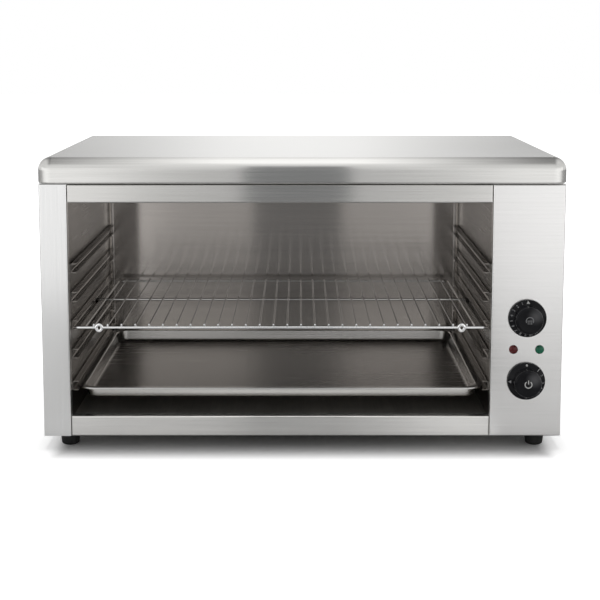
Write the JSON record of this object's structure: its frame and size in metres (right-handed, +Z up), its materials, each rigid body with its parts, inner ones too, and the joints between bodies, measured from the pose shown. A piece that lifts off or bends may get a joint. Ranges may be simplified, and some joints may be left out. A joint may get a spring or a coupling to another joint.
{
  "type": "cheese melter",
  "caption": "Open-fronted stainless counter grill that melts cheese under ceiling elements, with a sliding wire rack and tray in side runners, two knobs and pilot lamps.",
  "frame": {"origin": "on the surface it stands on, under the middle of the object's box", "axes": "+Z up, +X to the right seen from the front, +Y from the open front to the back"},
  "size_m": [0.76, 0.48, 0.429],
  "materials": {
    "casing_steel": "stainless sheet, brushed along the cover and rails and upright on the post and control panel",
    "base_steel": "plain rolled sheet",
    "cavity_steel": "bright rolled stainless sheet, warmed a little by use",
    "rack_wire": "electropolished wire",
    "tray_steel": "pressed sheet, satin",
    "element_sheath": "dark oxidised sheath",
    "zinc_plate": "bright zinc plate",
    "copper": "drawn copper",
    "brass": "turned brass",
    "control_moulding": "cream moulding with a low gloss",
    "porcelain": "glazed porcelain",
    "knob_plastic": "glossy black moulding with white marks",
    "red_lens": "clear red dome, unlit",
    "green_lens": "clear green dome, unlit",
    "gland_nylon": "black nylon",
    "foot_rubber": "black rubber"
  },
  "bodies": {
    "housing": {"top_cover": "casing_steel", "left_side_panel": "casing_steel", "right_side_panel": "casing_steel", "back_panel": "casing_steel", "base_pan": "base_steel", "top_rail": "casing_steel", "bottom_rail": "casing_steel", "control_panel": "casing_steel", "left_liner": "cavity_steel", "right_liner": "cavity_steel", "back_liner": "cavity_steel", "cavity_floor": "cavity_steel", "ceiling_reflector": "cavity_steel", "left_runner_1": "cavity_steel", "left_runner_2": "cavity_steel", "left_runner_3": "cavity_steel", "left_runner_4": "cavity_steel", "left_runner_5": "cavity_steel", "right_runner_1": "cavity_steel", "right_runner_2": "cavity_steel", "right_runner_3": "cavity_steel", "right_runner_4": "cavity_steel", "right_runner_5": "cavity_steel", "heating_element_1": "element_sheath", "heating_element_2": "element_sheath", "heating_element_3": "element_sheath", "element_hanger_1": "cavity_steel", "element_hanger_2": "cavity_steel", "element_nuts": "zinc_plate", "thermostat": "control_moulding", "thermostat_bulb": "copper", "capillary_tube": "copper", "bulb_clips": "cavity_steel", "selector_switch": "control_moulding", "red_lamp_lens": "red_lens", "green_lamp_lens": "green_lens", "red_lamp_body": "control_moulding", "green_lamp_body": "control_moulding", "terminal_block": "porcelain", "cable_gland_body": "gland_nylon", "cable_gland_nut": "gland_nylon", "cable_gland_locknut": "gland_nylon", "bonding_stud": "brass", "bonding_nuts": "zinc_plate", "foot_1": "foot_rubber", "foot_2": "foot_rubber", "foot_3": "foot_rubber", "foot_4": "foot_rubber", "foot_screws": "zinc_plate", "back_panel_screws": "zinc_plate", "cover_screws": "zinc_plate", "control_panel_screws": "zinc_plate"},
    "thermostat_dial": {"thermostat_knob": "knob_plastic", "thermostat_spindle": "zinc_plate"},
    "selector_dial": {"selector_knob": "knob_plastic", "selector_spindle": "zinc_plate"},
    "rack": {"wire_rack": "rack_wire"},
    "tray": {"baking_tray": "tray_steel"}
  },
  "joints": [
    {"name": "thermostat_turn", "type": "hinge", "parent": "housing", "child": "thermostat_dial", "pos_m": [0.326, -0.216, 0.196], "axis": [0, 1, 0], "range_deg": [0, 290]},
    {"name": "selector_turn", "type": "hinge", "parent": "housing", "child": "selector_dial", "pos_m": [0.326, -0.216, 0.103], "axis": [0, 1, 0], "range_deg": [-145, 90]},
    {"name": "rack_slide", "type": "slide", "parent": "housing", "child": "rack", "axis": [0, -1, 0], "range_m": [0, 0.44]},
    {"name": "tray_slide", "type": "slide", "parent": "housing", "child": "tray", "axis": [0, -1, 0], "range_m": [0, 0.45]}
  ]
}
